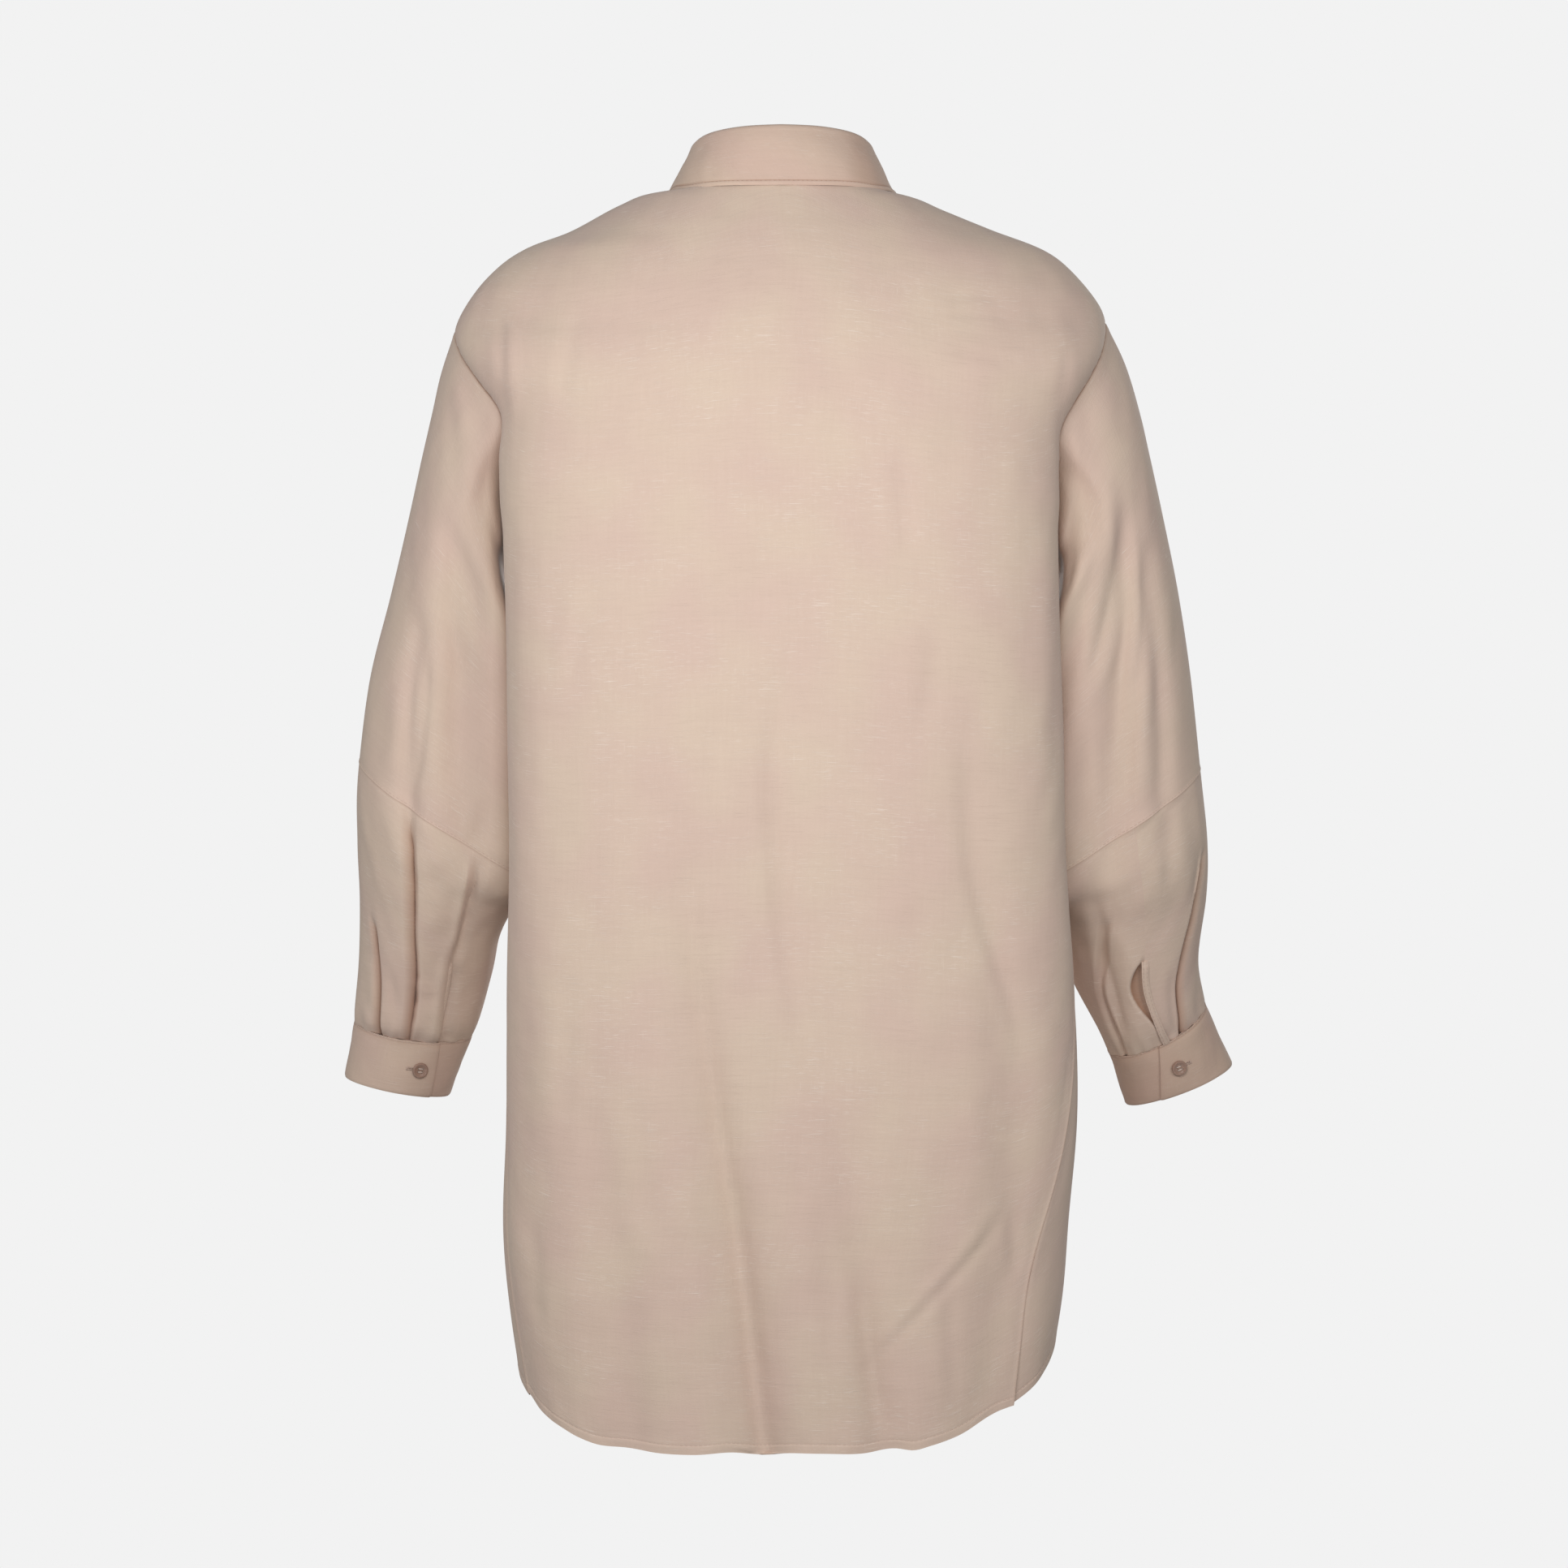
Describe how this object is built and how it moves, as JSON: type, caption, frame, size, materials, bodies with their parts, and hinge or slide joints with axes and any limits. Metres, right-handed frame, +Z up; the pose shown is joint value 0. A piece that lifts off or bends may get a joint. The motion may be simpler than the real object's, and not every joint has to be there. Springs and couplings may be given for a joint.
{
  "type": "long sleeve shirt",
  "caption": "Long loose button-front shirt with turned-down collar, dropped shoulders, pleated cuffed sleeves and curved hem, held open as if worn.",
  "frame": {"origin": "middle of the neck opening, level with the seam behind the neck, where a wearer holds it up", "axes": "+Z up, -Y to the front of the shirt, +X to the wearer's left"},
  "size_m": [0.6513, 0.2842, 0.9304],
  "materials": {
    "cloth": "rose-beige linen-look plain weave with pale slubs along the weft and a soft sheen",
    "button": "tonal rose-brown four-hole buttons with a raised rim"
  },
  "bodies": {
    "root": {"back": "cloth", "front_left": "cloth", "front_right": "cloth", "sleeve_upper_left": "cloth", "sleeve_lower_left": "cloth", "slit_binding_left": "cloth", "cuff_left": "cloth", "sleeve_upper_right": "cloth", "sleeve_lower_right": "cloth", "slit_binding_right": "cloth", "cuff_right": "cloth", "collar_stand": "cloth", "collar_leaf": "cloth", "button_front_1": "button", "button_front_2": "button", "button_front_3": "button", "button_front_4": "button", "button_front_5": "button", "button_front_6": "button", "button_front_7": "button", "button_front_8": "button", "button_collar": "button", "button_cuff_left": "button", "button_cuff_right": "button"}
  },
  "joints": []
}
